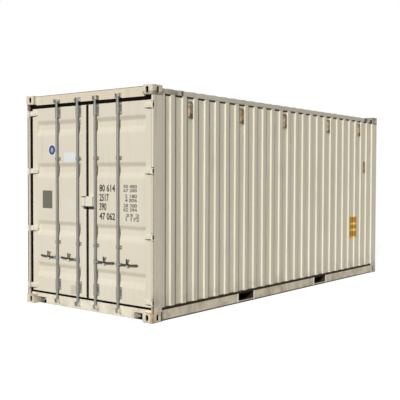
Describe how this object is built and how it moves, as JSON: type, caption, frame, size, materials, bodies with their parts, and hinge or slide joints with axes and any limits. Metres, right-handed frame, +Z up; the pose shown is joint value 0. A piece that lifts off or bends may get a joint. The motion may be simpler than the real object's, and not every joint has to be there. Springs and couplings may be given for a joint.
{
  "type": "shipping container",
  "caption": "Closed steel freight container with pressed walls, corner castings, fork pockets and a pair of swing doors with locking bars.",
  "frame": {"origin": "centre of the base, on the plane under the bottom corner castings", "axes": "+X along the length towards the closed end, with the doors at -X; +Y across to the left hand side; +Z up"},
  "size_m": [6.058, 2.438, 2.896],
  "materials": {
    "body_paint": "weathered cream container paint",
    "door_paint": "weathered cream container paint",
    "galvanised_steel": "dull hot dip galvanised",
    "handle_steel": "dark weathered steel",
    "gasket_rubber": "black rubber",
    "floor_plywood": "worn sealed plywood",
    "underseal": "dark bitumen underseal",
    "plate_metal": "dull bare plate"
  },
  "bodies": {
    "container_body": {"top_corner_castings": "body_paint", "bottom_corner_castings": "body_paint", "door_header": "body_paint", "door_sill": "body_paint", "end_top_rail": "body_paint", "end_bottom_rail": "body_paint", "end_wall": "body_paint", "hinge_lugs": "body_paint", "cam_keepers": "body_paint", "roof_panel": "body_paint", "right_door_post": "body_paint", "right_end_post": "body_paint", "right_top_side_rail": "body_paint", "right_bottom_side_rail": "body_paint", "right_side_wall": "body_paint", "left_door_post": "body_paint", "left_end_post": "body_paint", "left_top_side_rail": "body_paint", "left_bottom_side_rail": "body_paint", "left_side_wall": "body_paint", "floor_boards": "floor_plywood", "cross_members": "underseal", "fork_pockets": "underseal"},
    "right_door": {"right_door_frame": "door_paint", "right_door_panel": "door_paint", "right_door_gasket": "gasket_rubber", "right_hinge_blades": "door_paint", "right_bar_guides": "galvanised_steel", "right_handle_retainers": "door_paint", "right_lock_box": "door_paint"},
    "right_inner_bar": {"right_inner_bar": "galvanised_steel"},
    "right_inner_handle": {"right_inner_handle": "handle_steel"},
    "right_inner_catch": {"right_inner_catch": "handle_steel"},
    "right_outer_bar": {"right_outer_bar": "galvanised_steel"},
    "right_outer_handle": {"right_outer_handle": "handle_steel"},
    "right_outer_catch": {"right_outer_catch": "handle_steel"},
    "left_door": {"left_door_frame": "door_paint", "left_door_panel": "door_paint", "left_door_gasket": "gasket_rubber", "left_hinge_blades": "door_paint", "left_bar_guides": "galvanised_steel", "left_handle_retainers": "door_paint", "left_lock_box": "door_paint", "data_plate": "plate_metal"},
    "left_inner_bar": {"left_inner_bar": "galvanised_steel"},
    "left_inner_handle": {"left_inner_handle": "handle_steel"},
    "left_inner_catch": {"left_inner_catch": "handle_steel"},
    "left_outer_bar": {"left_outer_bar": "galvanised_steel"},
    "left_outer_handle": {"left_outer_handle": "handle_steel"},
    "left_outer_catch": {"left_outer_catch": "handle_steel"}
  },
  "joints": [
    {"name": "right_door_swing", "type": "hinge", "parent": "container_body", "child": "right_door", "pos_m": [-3.009, -1.199, 1.45], "axis": [0, 0, 1], "range_deg": [0, 260]},
    {"name": "right_inner_bar_turn", "type": "hinge", "parent": "right_door", "child": "right_inner_bar", "pos_m": [-3, -0.172, 1.45], "axis": [0, 0, 1], "range_deg": [-100, 0]},
    {"name": "right_inner_handle_lift", "type": "hinge", "parent": "right_inner_bar", "child": "right_inner_handle", "pos_m": [-3, -0.227, 0.677], "axis": [1, 0, 0], "range_deg": [-15, 0]},
    {"name": "right_inner_catch_flip", "type": "hinge", "parent": "right_door", "child": "right_inner_catch", "pos_m": [-3.011, -0.347, 0.746], "axis": [0, -1, 0], "range_deg": [-90, 0]},
    {"name": "right_outer_bar_turn", "type": "hinge", "parent": "right_door", "child": "right_outer_bar", "pos_m": [-3, -0.592, 1.45], "axis": [0, 0, 1], "range_deg": [-100, 0]},
    {"name": "right_outer_handle_lift", "type": "hinge", "parent": "right_outer_bar", "child": "right_outer_handle", "pos_m": [-3, -0.647, 0.677], "axis": [1, 0, 0], "range_deg": [-15, 0]},
    {"name": "right_outer_catch_flip", "type": "hinge", "parent": "right_door", "child": "right_outer_catch", "pos_m": [-3.011, -0.767, 0.746], "axis": [0, -1, 0], "range_deg": [-90, 0]},
    {"name": "left_door_swing", "type": "hinge", "parent": "container_body", "child": "left_door", "pos_m": [-3.009, 1.199, 1.45], "axis": [0, 0, -1], "range_deg": [0, 260]},
    {"name": "left_inner_bar_turn", "type": "hinge", "parent": "left_door", "child": "left_inner_bar", "pos_m": [-3, 0.172, 1.45], "axis": [0, 0, -1], "range_deg": [-100, 0]},
    {"name": "left_inner_handle_lift", "type": "hinge", "parent": "left_inner_bar", "child": "left_inner_handle", "pos_m": [-3, 0.227, 0.677], "axis": [-1, 0, 0], "range_deg": [-15, 0]},
    {"name": "left_inner_catch_flip", "type": "hinge", "parent": "left_door", "child": "left_inner_catch", "pos_m": [-3.011, 0.347, 0.746], "axis": [0, -1, 0], "range_deg": [-90, 0]},
    {"name": "left_outer_bar_turn", "type": "hinge", "parent": "left_door", "child": "left_outer_bar", "pos_m": [-3, 0.592, 1.45], "axis": [0, 0, -1], "range_deg": [-100, 0]},
    {"name": "left_outer_handle_lift", "type": "hinge", "parent": "left_outer_bar", "child": "left_outer_handle", "pos_m": [-3, 0.647, 0.677], "axis": [-1, 0, 0], "range_deg": [-15, 0]},
    {"name": "left_outer_catch_flip", "type": "hinge", "parent": "left_door", "child": "left_outer_catch", "pos_m": [-3.011, 0.767, 0.746], "axis": [0, -1, 0], "range_deg": [-90, 0]}
  ]
}
